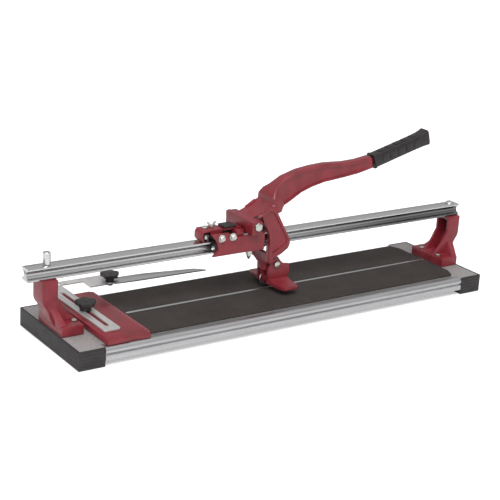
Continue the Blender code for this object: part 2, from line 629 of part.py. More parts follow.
def make_lever():
    px, pz = PIVOT
    lever = solid("lever_casting", loft([[(x - px, y, z - pz) for x, y, z in ring]
                                         for ring in arm_sections()]),
                  (px, 0, pz), RED, LEVER)
    thick = CHEEK_OUTER - CHEEK_INNER
    middle = (CHEEK_OUTER + CHEEK_INNER) / 2
    for side in (-1, 1):
        join(lever, helper(outline(CHEEK, thick), (0, side * middle, 0), LEVER, UPRIGHT))
        cut(lever, helper(outline(CHEEK_PANEL, 5.0), (0, side * CHEEK_OUTER, 0), LEVER, UPRIGHT))
        # end block of the pivot
        y0, y1 = sorted((side * 24.8, side * BOSS_OUTER))
        mesh, centre = span((-57.5, y0, 143), (-39.0, y1, 163.8))
        join(lever, helper(mesh, centre, LEVER))
    # floor of the hoop, from cheek to cheek
    floor = [(-22.0, 86.9), (-9.0, 80.3), (9.0, 80.3), (22.0, 86.9), (22.0, 126.0), (14.5, 126.0),
             (14.5, 99.5), (-14.5, 99.5), (-14.5, 126.0), (-22.0, 126.0)]
    join(lever, helper(outline(floor, 7.4), (-8.4, 0, 0), LEVER, ALONG))
    for side in (-1, 1):
        cut(lever, helper(web_recess(side), (0, 0, 0), LEVER))
    mesh, centre = span((-57.5, -26.0, 143.0), (-55.6, 26.0, 163.6))
    join(lever, helper(mesh, centre, LEVER))
    tip = [(-10.5, 69.5), (-10.5, 88.0), (17.0, 88.0), (17.0, 71.0), (8.6, 69.5)]
    join(lever, helper(outline(tip, 20.8), (0, 0, 0), LEVER, UPRIGHT))
    fork = [(-9.0, 71.0), (-8.5, 50.0), (-4.0, 46.5), (2.0, 46.5), (5.5, 50.0), (4.5, 71.0)]
    join(lever, helper(outline(fork, 9.0), (0, 0, 0), LEVER, UPRIGHT))
    wx, wz = WHEEL_CENTRE
    cut(lever, helper(rod(WHEEL_RADIUS + 1.5, 3.6, 32), (wx, 0, wz), WHEEL, UPRIGHT))
    cut(lever, helper(rod(2.3, 20.0, 12), (wx, 0, wz), WHEEL, UPRIGHT))
    cut(lever, helper(rod(3.3, 100.0), (px, 0, pz), LEVER, UPRIGHT))
    fx, fz = FOOT_PIVOT
    cut(lever, helper(rod(3.3, 60.0, 16), (fx, 0, fz), LEVER, UPRIGHT))

    # countersunk screw on the slope behind the pivot
    lean = math.atan2(9.5, 21.5)
    face = Vector((-40.3, -21.0, 166.4))
    normal = Vector((-math.sin(lean), 0.0, math.cos(lean)))
    tilt = (0.0, -lean, 0.0)
    cut(lever, helper(rod(4.3, 8.0), face + 2.4 * normal, LEVER, tilt))
    cut(lever, helper(rod(1.9, 20.0, 12), face, LEVER, tilt))
    screw = [(0, -0.1), (3.4, -0.1), (3.4, -1.3), (1.6, -1.3), (1.6, -4.5), (0, -4.5)]
    turned("lever_screw", screw, face, BLACK, LEVER, tilt, 16)

    gx, gz = GRIP_START
    run_x, run_z = GRIP_END[0] - gx, GRIP_END[1] - gz
    angle = math.atan2(run_z, run_x)
    turn = (0.0, -angle, 0.0)
    tang = box(104.0, 9.0, 11.0)
    centre = (gx + 42.0 * math.cos(angle), 0, gz + 42.0 * math.sin(angle))
    join(lever, helper(tang, centre, LEVER, turn))

    def ring(x, half_width, half_height, lift=0.0):
        r = 4.0
        corners = ((1, 1, 0), (-1, 1, 90), (-1, -1, 180), (1, -1, 270))
        points = []
        for sy, sz, start in corners:
            points += arc(sy * (half_width - r), sz * (half_height - r) + lift, r, start, start + 90, 2)
        return [(x, y, z) for y, z in points]
    stations = [(1.2, 11.4, 12.6, 0), (5.0, 11.4, 12.6, 0), (6.0, 10.4, 11.7, 0), (40.0, 10.2, 11.5, 0),
                (80.0, 10.2, 11.5, 0), (106.0, 10.4, 11.9, 0.2), (116.0, 10.8, 12.8, 0.6),
                (121.0, 11.2, 13.8, 1.0), (123.0, 9.8, 12.2, 1.0)]
    grip = solid("grip", loft([ring(*s) for s in stations]), (gx, 0, gz), BLACK, LEVER, turn)
    socket = box(104.0 + 2 * GAP, 9.0 + 2 * GAP, 11.0 + 2 * GAP)
    cut(grip, helper(socket, centre, LEVER, turn))


def make_wheel():
    wx, wz = WHEEL_CENTRE
    r = WHEEL_RADIUS
    rim = [(0, 0.9), (r - 1.6, 0.9), (r, 0.0), (r - 1.6, -0.9), (0, -0.9)]
    wheel = turned("scoring_wheel", rim, (wx, 0, wz), CHROME, WHEEL, UPRIGHT, 32)
    cut(wheel, helper(rod(2.3, 10.0, 12), (wx, 0, wz), WHEEL, UPRIGHT))
    axle = [(0, 7.2), (3.6, 7.0), (3.6, 4.8), (2.0, 4.8), (2.0, -6.0), (0, -6.0)]
    turned("wheel_axle", axle, (wx, 0, wz), ZINC, LEVER, UPRIGHT, 16)


def make_foot():
    """Snapping foot: two lobes on one bolt, joined low down, with toes spread to both mats."""
    fx, fz = FOOT_PIVOT
    lobe = [(-6.0, 54.0), (-6.0, 76.0)] + arc(7.5, 77.5, 11.5, 180, 35, 8)
    lobe += [(24.0, 77.5), (35.0, 76.0), (35.8, 61.0), (33.5, 54.0)]
    foot = None
    for side in (-1, 1):
        mesh = outline(lobe, 5.0)
        point = (0, side * 13.6, 0)
        if foot is None:
            foot = solid("snapping_foot", mesh, point, RED, FOOT, UPRIGHT)
        else:
            join(foot, helper(mesh, point, FOOT, UPRIGHT))
        stations = ((11.0, -6.0, 33.0, 46.0, 56.2), (24.0, -1.0, 34.0, 44.0, 50.5),
                    (42.0, 0.0, 33.0, 44.0, 49.6), (FOOT_SPAN, 4.0, 29.0, 44.4, 49.0))
        toe = loft([[(x0, side * y, z0), (x1, side * y, z0), (x1, side * y, z1), (x0, side * y, z1)]
                    for y, x0, x1, z0, z1 in stations])
        join(foot, helper(toe, (0, 0, 0), FOOT))
    mesh, centre = span((14.0, -12.5, 46.5), (31.5, 12.5, 55.5))
    join(foot, helper(mesh, centre, FOOT))
    cut(foot, helper(rod(3.3, 60.0, 16), (fx, 0, fz), FOOT, UPRIGHT))
    hex_bolt("foot_bolt", (fx, -16.1 - GAP, fz), 3.0, 10.0, 4.2, 38.5, LEVER, UPRIGHT)
    nut = solid("foot_nut", rod(5.8, 5.0, 6), (fx, 16.1 + GAP + 2.5, fz), ZINC, LEVER, UPRIGHT)
    cut(nut, helper(rod(3.3, 20.0, 16), (fx, 18.0, fz), LEVER, UPRIGHT))


make_base()
make_post(-1, "post_left")
make_post(1, "post_right")
make_rail()
make_fence()
make_gauge()
make_carriage()
make_lever()
make_wheel()
make_foot()
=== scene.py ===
import json
import math

import bmesh
import bpy
from mathutils import Matrix, Vector

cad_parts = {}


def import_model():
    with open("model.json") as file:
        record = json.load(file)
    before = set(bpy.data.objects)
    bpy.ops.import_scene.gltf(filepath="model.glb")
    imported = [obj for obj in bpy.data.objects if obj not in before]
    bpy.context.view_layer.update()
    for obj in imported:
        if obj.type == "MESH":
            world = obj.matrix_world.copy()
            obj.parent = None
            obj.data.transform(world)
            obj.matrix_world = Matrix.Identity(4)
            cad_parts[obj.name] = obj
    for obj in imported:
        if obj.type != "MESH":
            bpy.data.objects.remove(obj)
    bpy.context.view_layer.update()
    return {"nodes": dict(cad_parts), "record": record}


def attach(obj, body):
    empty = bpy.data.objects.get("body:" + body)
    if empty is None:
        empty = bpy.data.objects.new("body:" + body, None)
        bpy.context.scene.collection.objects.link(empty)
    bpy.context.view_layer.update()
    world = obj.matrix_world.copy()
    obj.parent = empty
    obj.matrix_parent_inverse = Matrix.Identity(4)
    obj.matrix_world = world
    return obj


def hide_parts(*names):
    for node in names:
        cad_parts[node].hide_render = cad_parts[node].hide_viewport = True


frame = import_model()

bodyOf = {node: body for body, members in frame["record"]["behaviour"]["bodies"].items()
          for node in members}
slotOf = {entry["node"]: entry["material_slot"] for entry in frame["record"]["subparts"]}
scene = bpy.context.scene
mm = 0.001
weldGap = 2e-6        # metres


# View, light and floor
view = {"place": (-1.17228, -1.66746, 0.77445), "turn": 34.885, "tilt": 18.455, "roll": 3.304,
        "lens": 94.45, "sensor": 36, "reach": 100}
light = {"worldTop": 0.78, "worldHorizon": 0.4, "horizonEnd": 0.75,
         "sun": 1.45, "sunTurn": (38, 0, -28), "sunSpread": 35,
         "key": 12.0, "keyPlace": (-1.1, -1.3, 1.7), "keyTarget": (0, 0, 0.1), "keySize": 1.1}
floorLook = {"half": 30.0, "level": -0.0004, "white": (0.93, 0.93, 0.93), "roughness": 0.9,
             "specular": 0.1, "lift": 0.4}


def placeCamera():
    turn, tilt, roll = (math.radians(view[k]) for k in ("turn", "tilt", "roll"))
    ahead = Vector((math.sin(turn) * math.cos(tilt), math.cos(turn) * math.cos(tilt),
                    -math.sin(tilt)))
    right = Vector((math.cos(turn), -math.sin(turn), 0))
    up = right.cross(ahead)
    rightTurned = right * math.cos(roll) + up * math.sin(roll)
    upTurned = up * math.cos(roll) - right * math.sin(roll)
    lens = bpy.data.cameras.new("studioCamera")
    lens.lens = view["lens"]
    lens.sensor_width = view["sensor"]
    lens.clip_end = view["reach"]
    camera = bpy.data.objects.new("studioCamera", lens)
    axes = Matrix((rightTurned, upTurned, -ahead)).transposed().to_4x4()
    camera.matrix_world = Matrix.Translation(view["place"]) @ axes
    scene.collection.objects.link(camera)
    scene.camera = camera


def areaLight(name, place, target, size, power):
    lamp = bpy.data.lights.new(name, "AREA")
    lamp.shape = "SQUARE"
    lamp.size = size
    lamp.energy = power
    holder = bpy.data.objects.new(name, lamp)
    holder.location = place
    holder.rotation_euler = (Vector(target) - Vector(place)).to_track_quat("-Z", "Y").to_euler()
    scene.collection.objects.link(holder)


def lightStudio():
    scene.view_settings.view_transform = "Standard"
    surroundings = bpy.data.worlds.new("studio")
    scene.world = surroundings
    surroundings.use_nodes = True
    tree = surroundings.node_tree
    tree.nodes.clear()
    where = tree.nodes.new("ShaderNodeTexCoord")
    split = tree.nodes.new("ShaderNodeSeparateXYZ")
    fade = tree.nodes.new("ShaderNodeMapRange")
    fade.inputs["From Min"].default_value = 0.0
    fade.inputs["From Max"].default_value = light["horizonEnd"]
    fade.inputs["To Min"].default_value = light["worldHorizon"]
    fade.inputs["To Max"].default_value = light["worldTop"]
    sky = tree.nodes.new("ShaderNodeBackground")
    out = tree.nodes.new("ShaderNodeOutputWorld")
    tree.links.new(where.outputs["Generated"], split.inputs[0])
    tree.links.new(split.outputs["Z"], fade.inputs["Value"])
    tree.links.new(fade.outputs["Result"], sky.inputs["Strength"])
    tree.links.new(sky.outputs[0], out.inputs["Surface"])
    lamp = bpy.data.lights.new("softSun", "SUN")
    lamp.energy = light["sun"]
    lamp.angle = math.radians(light["sunSpread"])
    sun = bpy.data.objects.new("softSun", lamp)
    sun.rotation_euler = [math.radians(a) for a in light["sunTurn"]]
    scene.collection.objects.link(sun)
    areaLight("keyPanel", light["keyPlace"], light["keyTarget"], light["keySize"], light["key"])


def layFloor():
    mesh = bpy.data.meshes.new("studioFloor")
    half, level = floorLook["half"], floorLook["level"]
    corners = [(-half, -half), (half, -half), (half, half), (-half, half)]
    mesh.from_pydata([(x, y, level) for x, y in corners], [], [(0, 1, 2, 3)])
    floor = bpy.data.objects.new("studioFloor", mesh)
    scene.collection.objects.link(floor)
    paint = bpy.data.materials.new("floorWhite")
    paint.use_nodes = True
    shader = paint.node_tree.nodes["Principled BSDF"]
    shader.inputs["Base Color"].default_value = (*floorLook["white"], 1)
    shader.inputs["Roughness"].default_value = floorLook["roughness"]
    shader.inputs["Specular IOR Level"].default_value = floorLook["specular"]
    tree = paint.node_tree
    glow = tree.nodes.new("ShaderNodeEmission")
    path = tree.nodes.new("ShaderNodeLightPath")
    lift = tree.nodes.new("ShaderNodeMath")
    lift.operation = "MULTIPLY"
    lift.inputs[1].default_value = floorLook["lift"]
    both = tree.nodes.new("ShaderNodeAddShader")
    tree.links.new(path.outputs["Is Camera Ray"], lift.inputs[0])
    tree.links.new(lift.outputs[0], glow.inputs["Strength"])
    tree.links.new(shader.outputs[0], both.inputs[0])
    tree.links.new(glow.outputs[0], both.inputs[1])
    tree.links.new(both.outputs[0], tree.nodes["Material Output"].inputs["Surface"])
    mesh.materials.append(paint)


placeCamera()
lightStudio()
layFloor()
print("studio ready")


# Finishes
def newFinish(name, metallic, roughness):
    material = bpy.data.materials.new(name)
    material.use_nodes = True
    shader = material.node_tree.nodes["Principled BSDF"]
    shader.inputs["Metallic"].default_value = metallic
    shader.inputs["Roughness"].default_value = roughness
    return material, material.node_tree, shader


def objectPoint(tree, stretch=(1, 1, 1)):
    where = tree.nodes.new("ShaderNodeTexCoord")
    mapping = tree.nodes.new("ShaderNodeMapping")
    mapping.inputs["Scale"].default_value = stretch
    tree.links.new(where.outputs["Object"], mapping.inputs["Vector"])
    return mapping.outputs["Vector"]


def noise(tree, point, scale, detail=3.0, rough=0.5):
    node = tree.nodes.new("ShaderNodeTexNoise")
    node.inputs["Scale"].default_value = scale
    node.inputs["Detail"].default_value = detail
    node.inputs["Roughness"].default_value = rough
    tree.links.new(point, node.inputs["Vector"])
    return node.outputs["Fac"]


def ramp(tree, value, stops):
    node = tree.nodes.new("ShaderNodeValToRGB")
    elements = node.color_ramp.elements
    while len(elements) < len(stops):
        elements.new(0.5)
    for element, (place, colour) in zip(elements, stops):
        element.position = place
        element.color = (*colour, 1)
    tree.links.new(value, node.inputs["Fac"])
    return node.outputs["Color"]


def spread(tree, value, low, high, fromLow=0.3, fromHigh=0.7):
    node = tree.nodes.new("ShaderNodeMapRange")
    node.inputs["From Min"].default_value = fromLow
    node.inputs["From Max"].default_value = fromHigh
    node.inputs["To Min"].default_value = low
    node.inputs["To Max"].default_value = high
    tree.links.new(value, node.inputs["Value"])
    return node.outputs["Result"]


def bump(tree, shader, height, strength, distance, under=None):
    node = tree.nodes.new("ShaderNodeBump")
    node.inputs["Strength"].default_value = strength
    node.inputs["Distance"].default_value = distance
    tree.links.new(height, node.inputs["Height"])
    if under:
        tree.links.new(under, node.inputs["Normal"])
    tree.links.new(node.outputs["Normal"], shader.inputs["Normal"])
    return node.outputs["Normal"]


def mixColour(tree, factor, first, second, kind="MIX"):
    node = tree.nodes.new("ShaderNodeMix")
    node.data_type = "RGBA"
    node.blend_type = kind
    for socket, value in ((node.inputs[0], factor), (node.inputs[6], first),
                          (node.inputs[7], second)):
        if isinstance(value, bpy.types.NodeSocket):
            tree.links.new(value, socket)
        elif isinstance(value, (int, float)):
            socket.default_value = value
        else:
            socket.default_value = (*value, 1)
    return node.outputs[2]


rail = {"left": -427.3, "right": 407.3, "half": 10.5, "top": 132.3, "bottom": 111.8,
        "grooveOut": 0.36, "grooveRadius": 6.56, "corner": 0.9, "flat": 0.25, "land": 2.7,
        "step": 0.7, "lip": 3.3, "screw": 393.0, "hole": 3.5, "holeMiddle": 122}
# In railLook, the two spans of painted shade are in metres, the first along X and the second up Z;
# the grey levels by height are painted reflection, dark in the upper groove.
railLook = {"deep": (0.64, 0.64, 0.65), "pale": (0.8, 0.8, 0.81), "shades": (1.1, 0.36),
            "paintedShadeXSpan": (-0.04, 0.28), "sideSpan": (0.127, 0.1295),
            "levels": ((0.0, 0.85), (0.2, 0.68), (0.42, 0.9), (0.6, 0.45), (0.74, 0.34),
                       (0.8, 0.95))}
redLook = {"base": (0.225, 0.017, 0.027), "deep": (0.175, 0.011, 0.018),
           "pale": (0.27, 0.027, 0.04), "patches": 45.0, "lumps": 160.0, "grain": 900.0,
           "coat": 0.18, "coatRoughness": 0.22}
matLook = {"deep": (0.036, 0.029, 0.027), "pale": (0.048, 0.04, 0.037),
           "fleck": (0.13, 0.118, 0.11), "clouds": 22.0, "flecks": 1500.0, "grain": 1100.0,
           "specular": 0.25}
deckLook = {"deep": (0.13, 0.118, 0.118), "middle": (0.31, 0.288, 0.288),
            "pale": (0.5, 0.48, 0.47), "specks": 700.0}


def paintFinish():
    material, tree, shader = newFinish("redPaint", 0.0, 0.36)
    point = objectPoint(tree)
    patches = noise(tree, point, redLook["patches"], 4.0)
    grain = noise(tree, point, redLook["grain"], 2.0)
    colour = ramp(tree, patches, [(0.32, redLook["deep"]), (0.52, redLook["base"]),
                                  (0.78, redLook["pale"])])
    tree.links.new(colour, shader.inputs["Base Color"])
    tree.links.new(spread(tree, patches, 0.34, 0.5), shader.inputs["Roughness"])
    coarse = bump(tree, shader, noise(tree, point, redLook["lumps"], 2.0), 0.25, 0.0006)
    bump(tree, shader, grain, 0.22, 0.0002, coarse)
    shader.inputs["Coat Weight"].default_value = redLook["coat"]
    shader.inputs["Coat Roughness"].default_value = redLook["coatRoughness"]
    return material


def plasticFinish(name, dark, pale, rough, grainSize):
    material, tree, shader = newFinish(name, 0.0, rough)
    point = objectPoint(tree)
    grain = noise(tree, point, grainSize, 3.0)
    colour = ramp(tree, noise(tree, point, 60.0), [(0.35, dark), (0.7, pale)])
    tree.links.new(colour, shader.inputs["Base Color"])
    tree.links.new(spread(tree, grain, rough - 0.08, rough + 0.1), shader.inputs["Roughness"])
    bump(tree, shader, grain, 0.35, 0.0003)
    return material


def matFinish():
    material, tree, shader = newFinish("matRubber", 0.0, 0.85)
    point = objectPoint(tree)
    speck = noise(tree, point, matLook["flecks"], 1.0)
    cloud = noise(tree, point, matLook["clouds"], 3.0)
    ground = ramp(tree, cloud, [(0.3, matLook["deep"]), (0.7, matLook["pale"])])
    flecks = ramp(tree, speck, [(0.6, (0, 0, 0)), (0.74, (1, 1, 1))])
    colour = mixColour(tree, flecks, ground, matLook["fleck"])
    tree.links.new(colour, shader.inputs["Base Color"])
    shader.inputs["Specular IOR Level"].default_value = matLook["specular"]
    bump(tree, shader, noise(tree, point, matLook["grain"], 2.0), 0.5, 0.0003)
    return material


def metalFinish(name, dark, pale, rough, stretch, lines=260.0, strength=0.12, metallic=1.0):
    # Drawn or plated metal, with faint lines along the axis where stretch is smallest.
    material, tree, shader = newFinish(name, metallic, rough)
    streak = noise(tree, objectPoint(tree, stretch), lines, 3.0)
    cloud = noise(tree, objectPoint(tree), 30.0, 4.0)
    drawn = ramp(tree, streak, [(0.3, dark), (0.7, pale)])
    colour = mixColour(tree, spread(tree, cloud, 0.0, 0.5), drawn, dark)
    tree.links.new(colour, shader.inputs["Base Color"])
    tree.links.new(spread(tree, streak, rough * 0.8, rough * 1.25), shader.inputs["Roughness"])
    bump(tree, shader, streak, strength, 0.0001)
    return material


def railWithPaintedShadeAndReflection():
    # Plated rail, pale on top. Its colour carries painted reflection, grey bands by height that are
    # dark in the upper groove, and painted shade that darkens its sides towards +X; the colour
    # alone does this.
    material, tree, shader = newFinish("railChrome", 1.0, 0.2)
    where = tree.nodes.new("ShaderNodeTexCoord")
    split = tree.nodes.new("ShaderNodeSeparateXYZ")
    tree.links.new(where.outputs["Object"], split.inputs[0])
    streak = noise(tree, objectPoint(tree, (0.01, 1, 1)), 180.0, 3.0)
    height = spread(tree, split.outputs["Z"], 0.0, 1.0, rail["bottom"] * mm, rail["top"] * mm)
    # Painted reflection: grey bands from the rail's bottom to its top, dark in the upper groove and
    # pale on top.
    level = ramp(tree, height, [(place, (grey, grey, grey)) for place, grey in railLook["levels"]])
    # Painted shade: below the height span the sides darken towards +X.
    along = spread(tree, split.outputs["X"], *railLook["shades"], *railLook["paintedShadeXSpan"])
    side = spread(tree, split.outputs["Z"], 1.0, 0.0, *railLook["sideSpan"])
    shade = tree.nodes.new("ShaderNodeMix")
    shade.data_type = "FLOAT"
    tree.links.new(side, shade.inputs[0])
    shade.inputs[2].default_value = 1.0
    tree.links.new(along, shade.inputs[3])
    metal = ramp(tree, streak, [(0.3, railLook["deep"]), (0.7, railLook["pale"])])
    dimmed = mixColour(tree, 1.0, metal, level, "MULTIPLY")
    grey = tree.nodes.new("ShaderNodeCombineColor")
    for channel in range(3):
        tree.links.new(shade.outputs[0], grey.inputs[channel])
    tree.links.new(mixColour(tree, 1.0, dimmed, grey.outputs[0], "MULTIPLY"),
                   shader.inputs["Base Color"])
    tree.links.new(spread(tree, streak, 0.16, 0.28), shader.inputs["Roughness"])
    bump(tree, shader, streak, 0.06, 0.0001)
    return material


def speckledFinish():
    material, tree, shader = newFinish("speckledDeck", 0.15, 0.55)
    speck = noise(tree, objectPoint(tree), deckLook["specks"], 2.0, 0.7)
    colour = ramp(tree, speck, [(0.3, deckLook["deep"]), (0.47, deckLook["middle"]),
                                (0.7, deckLook["pale"])])
    tree.links.new(colour, shader.inputs["Base Color"])
    bump(tree, shader, speck, 0.2, 0.0002)
    return material


finishes = {
    "redPaint": paintFinish(),
    "blackPlastic": plasticFinish("blackPlastic", (0.02, 0.016, 0.018), (0.03, 0.026, 0.027), 0.5,
                                  900.0),
    # Dark grey plastic: on the studs it is darker than zinc as painted shade, and on the cap ribs
    # it is paler than the caps' black plastic.
    "darkGreyPlastic": plasticFinish("darkGreyPlastic", (0.045, 0.04, 0.042), (0.07, 0.064, 0.066), 0.5, 900.0),
    "gripRubber": plasticFinish("gripRubber", (0.016, 0.013, 0.014), (0.026, 0.022, 0.023), 0.45,
                                700.0),
    "matRubber": matFinish(),
    "drawnAluminium": metalFinish("drawnAluminium", (0.5, 0.5, 0.51), (0.62, 0.62, 0.63), 0.34,
                                  (0.02, 1, 1)),
    "brushedPlate": metalFinish("brushedPlate", (0.6, 0.59, 0.58), (0.74, 0.73, 0.72), 0.4,
                                (1, 0.05, 1), metallic=0.6),
    "railChrome": railWithPaintedShadeAndReflection(),
    "wheelSteel": metalFinish("wheelSteel", (0.6, 0.6, 0.6), (0.7, 0.7, 0.7), 0.22, (1, 0.1, 1)),
    "zincSteel": metalFinish("zincSteel", (0.55, 0.56, 0.52), (0.74, 0.75, 0.72), 0.3, (1, 1, 1),
                             400.0, 0.1),
    "speckledDeck": speckledFinish(),
    "scaleInk": plasticFinish("scaleInk", (0.5, 0.48, 0.46), (0.62, 0.6, 0.58), 0.5, 800.0),
}
finishOfSlot = {"red_paint": "redPaint", "black_plastic": "blackPlastic", "mat_rubber": "matRubber",
                "aluminium": "drawnAluminium", "chrome": "railChrome", "grey_deck": "speckledDeck",
                "zinc_steel": "zincSteel"}
for name, node in frame["nodes"].items():
    node.data.materials.clear()
    node.data.materials.append(finishes[finishOfSlot[slotOf[name]]])
# The studs get the dark grey plastic in place of their metal, as painted shade over their tops.
for name in ("clamp_stud", "blade_stud"):
    frame["nodes"][name].data.materials[0] = finishes["darkGreyPlastic"]
print("finishes ready")


# Shared making
drawingShift = (10.0, -19.75)
roundSides = 32
drillDepth = 60


def placeName(node):
    first, *rest = node.split("_")
    return first + "".join(word.capitalize() for word in rest)


def mergedMesh(node):
    # A node's triangles joined up again, with flat faces whole.
    mesh = bpy.data.meshes.new(placeName(node))
    work = bmesh.new()
    work.from_mesh(frame["nodes"][node].data)
    bmesh.ops.remove_doubles(work, verts=work.verts, dist=weldGap)
    bmesh.ops.dissolve_limit(work, angle_limit=math.radians(0.6), verts=work.verts,
                             edges=work.edges)
    work.to_mesh(mesh)
    work.free()
    return mesh


def settle(piece):
    # Bakes the piece's modifiers into its mesh.
    graph = bpy.context.evaluated_depsgraph_get()
    mesh = bpy.data.meshes.new_from_object(piece.evaluated_get(graph))
    piece.modifiers.clear()
    piece.data = mesh
    return piece


def smoothByAngle(mesh, degrees):
    mesh.shade_smooth()
    mesh.set_sharp_from_angle(angle=math.radians(degrees))


def fitPiece(piece, finish, *nodes):
    # Gives the piece its finish and its body, and hides the nodes that it stands for.
    piece.data.materials.clear()
    piece.data.materials.append(finishes[finish])
    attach(piece, bodyOf[nodes[0]])
    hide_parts(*nodes)
    return piece


def world(x, y, z):
    # A point in mm on the drawing, centred on the base, as a place in the shared frame.
    return Vector((x + drawingShift[0], y + drawingShift[1], z)) * mm


def facingOut(mesh):
    work = bmesh.new()
    work.from_mesh(mesh)
    bmesh.ops.remove_doubles(work, verts=work.verts, dist=weldGap)
    bmesh.ops.recalc_face_normals(work, faces=work.faces)
    work.to_mesh(mesh)
    work.free()


def newTree(name, inputs):
    # Geometry tree with named inputs; gives the tree, its input node and its output node.
    tree = bpy.data.node_groups.new(name, "GeometryNodeTree")
    tree.interface.new_socket("Geometry", in_out="OUTPUT", socket_type="NodeSocketGeometry")
    tree.interface.new_socket("shape", in_out="INPUT", socket_type="NodeSocketGeometry")
    for label, kind in inputs:
        tree.interface.new_socket(label, in_out="INPUT", socket_type="NodeSocket" + kind)
    tree.interface.new_socket("finish", in_out="INPUT", socket_type="NodeSocketMaterial")
    return tree, tree.nodes.new("NodeGroupInput"), tree.nodes.new("NodeGroupOutput")


def put(tree, kind, wires, **settings):
    # Adds a node; wires maps an input's name or number to a value or to an output socket.
    node = tree.nodes.new(kind)
    for key, value in settings.items():
        setattr(node, key, value)
    for key, value in wires.items():
        if isinstance(value, bpy.types.NodeSocket):
            tree.links.new(value, node.inputs[key])
        else:
            node.inputs[key].default_value = value
    return node


def maths(tree, operation, first, second):
    return put(tree, "ShaderNodeMath", {0: first, 1: second}, operation=operation).outputs[0]


def closeTree(tree, geometry, given, out):
    real = put(tree, "GeometryNodeRealizeInstances", {"Geometry": geometry})
    coated = put(tree, "GeometryNodeSetMaterial", {"Geometry": real.outputs[0],
                                                   "Material": given.outputs["finish"]})
    tree.links.new(coated.outputs[0], out.inputs["Geometry"])
    return tree


def grow(name, mesh, tree, finish, **values):
    # Runs a geometry tree over a mesh and keeps the result as a plain piece.
    piece = bpy.data.objects.new(name, mesh)
    scene.collection.objects.link(piece)
    modifier = piece.modifiers.new("nodes", "NODES")
    modifier.node_group = tree
    values["finish"] = finishes[finish]
    for item in tree.interface.items_tree:
        if item.in_out == "INPUT" and item.name in values:
            modifier[item.identifier] = values[item.name]
    settle(piece)
    facingOut(piece.data)
    return piece


def sweepTree():
    # Sweeps a closed section along X.
    tree, given, out = newTree("sweptSection", [("start", "Float"), ("end", "Float")])
    ends = [put(tree, "ShaderNodeCombineXYZ", {"X": given.outputs[key]}).outputs[0]
            for key in ("start", "end")]
    line = put(tree, "GeometryNodeCurvePrimitiveLine", {"Start": ends[0], "End": ends[1]})
    section = put(tree, "GeometryNodeMeshToCurve", {"Mesh": given.outputs["shape"]})
    body = put(tree, "GeometryNodeCurveToMesh", {"Curve": line.outputs[0],
                                                 "Profile Curve": section.outputs[0],
                                                 "Fill Caps": True})
    return closeTree(tree, body.outputs[0], given, out)


def gridTree():
    # Repeats a shape on a grid, each copy turned about Z at random by up to turn radians.
    tree, given, out = newTree("repeatedOnGrid", [
        ("countX", "Int"), ("countY", "Int"), ("sizeX", "Float"), ("sizeY", "Float"),
        ("centre", "Vector"), ("turn", "Float"), ("seed", "Int")])
    grid = put(tree, "GeometryNodeMeshGrid", {
        "Size X": given.outputs["sizeX"], "Size Y": given.outputs["sizeY"],
        "Vertices X": given.outputs["countX"], "Vertices Y": given.outputs["countY"]})
    moved = put(tree, "GeometryNodeTransform", {"Geometry": grid.outputs["Mesh"],
                                                "Translation": given.outputs["centre"]})
    chance = put(tree, "FunctionNodeRandomValue", {"Seed": given.outputs["seed"]},
                 data_type="FLOAT")
    angle = maths(tree, "MULTIPLY", chance.outputs[1], given.outputs["turn"])
    turned = put(tree, "ShaderNodeCombineXYZ", {"Z": angle})
    copies = put(tree, "GeometryNodeInstanceOnPoints", {
        "Points": moved.outputs[0], "Instance": given.outputs["shape"],
        "Rotation": turned.outputs[0]})
    return closeTree(tree, copies.outputs[0], given, out)


def rowTree():
    # Repeats a shape along a line. One copy in every, from the first on, is scaled by longer.
    tree, given, out = newTree("repeatedInRow", [
        ("count", "Int"), ("start", "Vector"), ("step", "Vector"), ("every", "Int"),
        ("longer", "Vector")])
    line = put(tree, "GeometryNodeMeshLine", {
        "Count": given.outputs["count"], "Start Location": given.outputs["start"],
        "Offset": given.outputs["step"]})
    index = put(tree, "GeometryNodeInputIndex", {})
    rest = maths(tree, "MODULO", index.outputs[0], given.outputs["every"])
    isLong = maths(tree, "LESS_THAN", rest, 0.5)
    size = put(tree, "ShaderNodeMix", {0: isLong, 4: (1, 1, 1), 5: given.outputs["longer"]},
               data_type="VECTOR")
    copies = put(tree, "GeometryNodeInstanceOnPoints", {
        "Points": line.outputs[0], "Instance": given.outputs["shape"], "Scale": size.outputs[1]})
    return closeTree(tree, copies.outputs[0], given, out)


sweptSection, repeatedOnGrid, repeatedInRow = sweepTree(), gridTree(), rowTree()


def growRow(name, mesh, finish, count, start, step, every=1, longer=(1, 1, 1)):
    # Copies stay equal unless longer is given.
    return grow(name, mesh, repeatedInRow, finish, count=count, start=start, step=step,
                every=every, longer=longer)


def arcPoints(cy, cz, radius, start, end, steps):
    turns = [math.radians(start + (end - start) * i / steps) for i in range(steps + 1)]
    return [(cy + radius * math.cos(t), cz + radius * math.sin(t)) for t in turns]


def sectionMesh(points):
    # Closed loop of (y, z) in mm, laid out as Curve to Mesh wants it for a line along X.
    mesh = bpy.data.meshes.new("section")
    placed = [world(0, y, z) for y, z in points]
    count = len(placed)
    mesh.from_pydata([(-p.y, -p.z, 0) for p in placed],
                     [(i, (i + 1) % count) for i in range(count)], [])
    return mesh


def boxMesh(size):
    mesh = bpy.data.meshes.new("box")
    work = bmesh.new()
    bmesh.ops.create_cube(work, size=1.0)
    bmesh.ops.scale(work, vec=[v * mm for v in size], verts=work.verts)
    work.to_mesh(mesh)
    work.free()
    return mesh


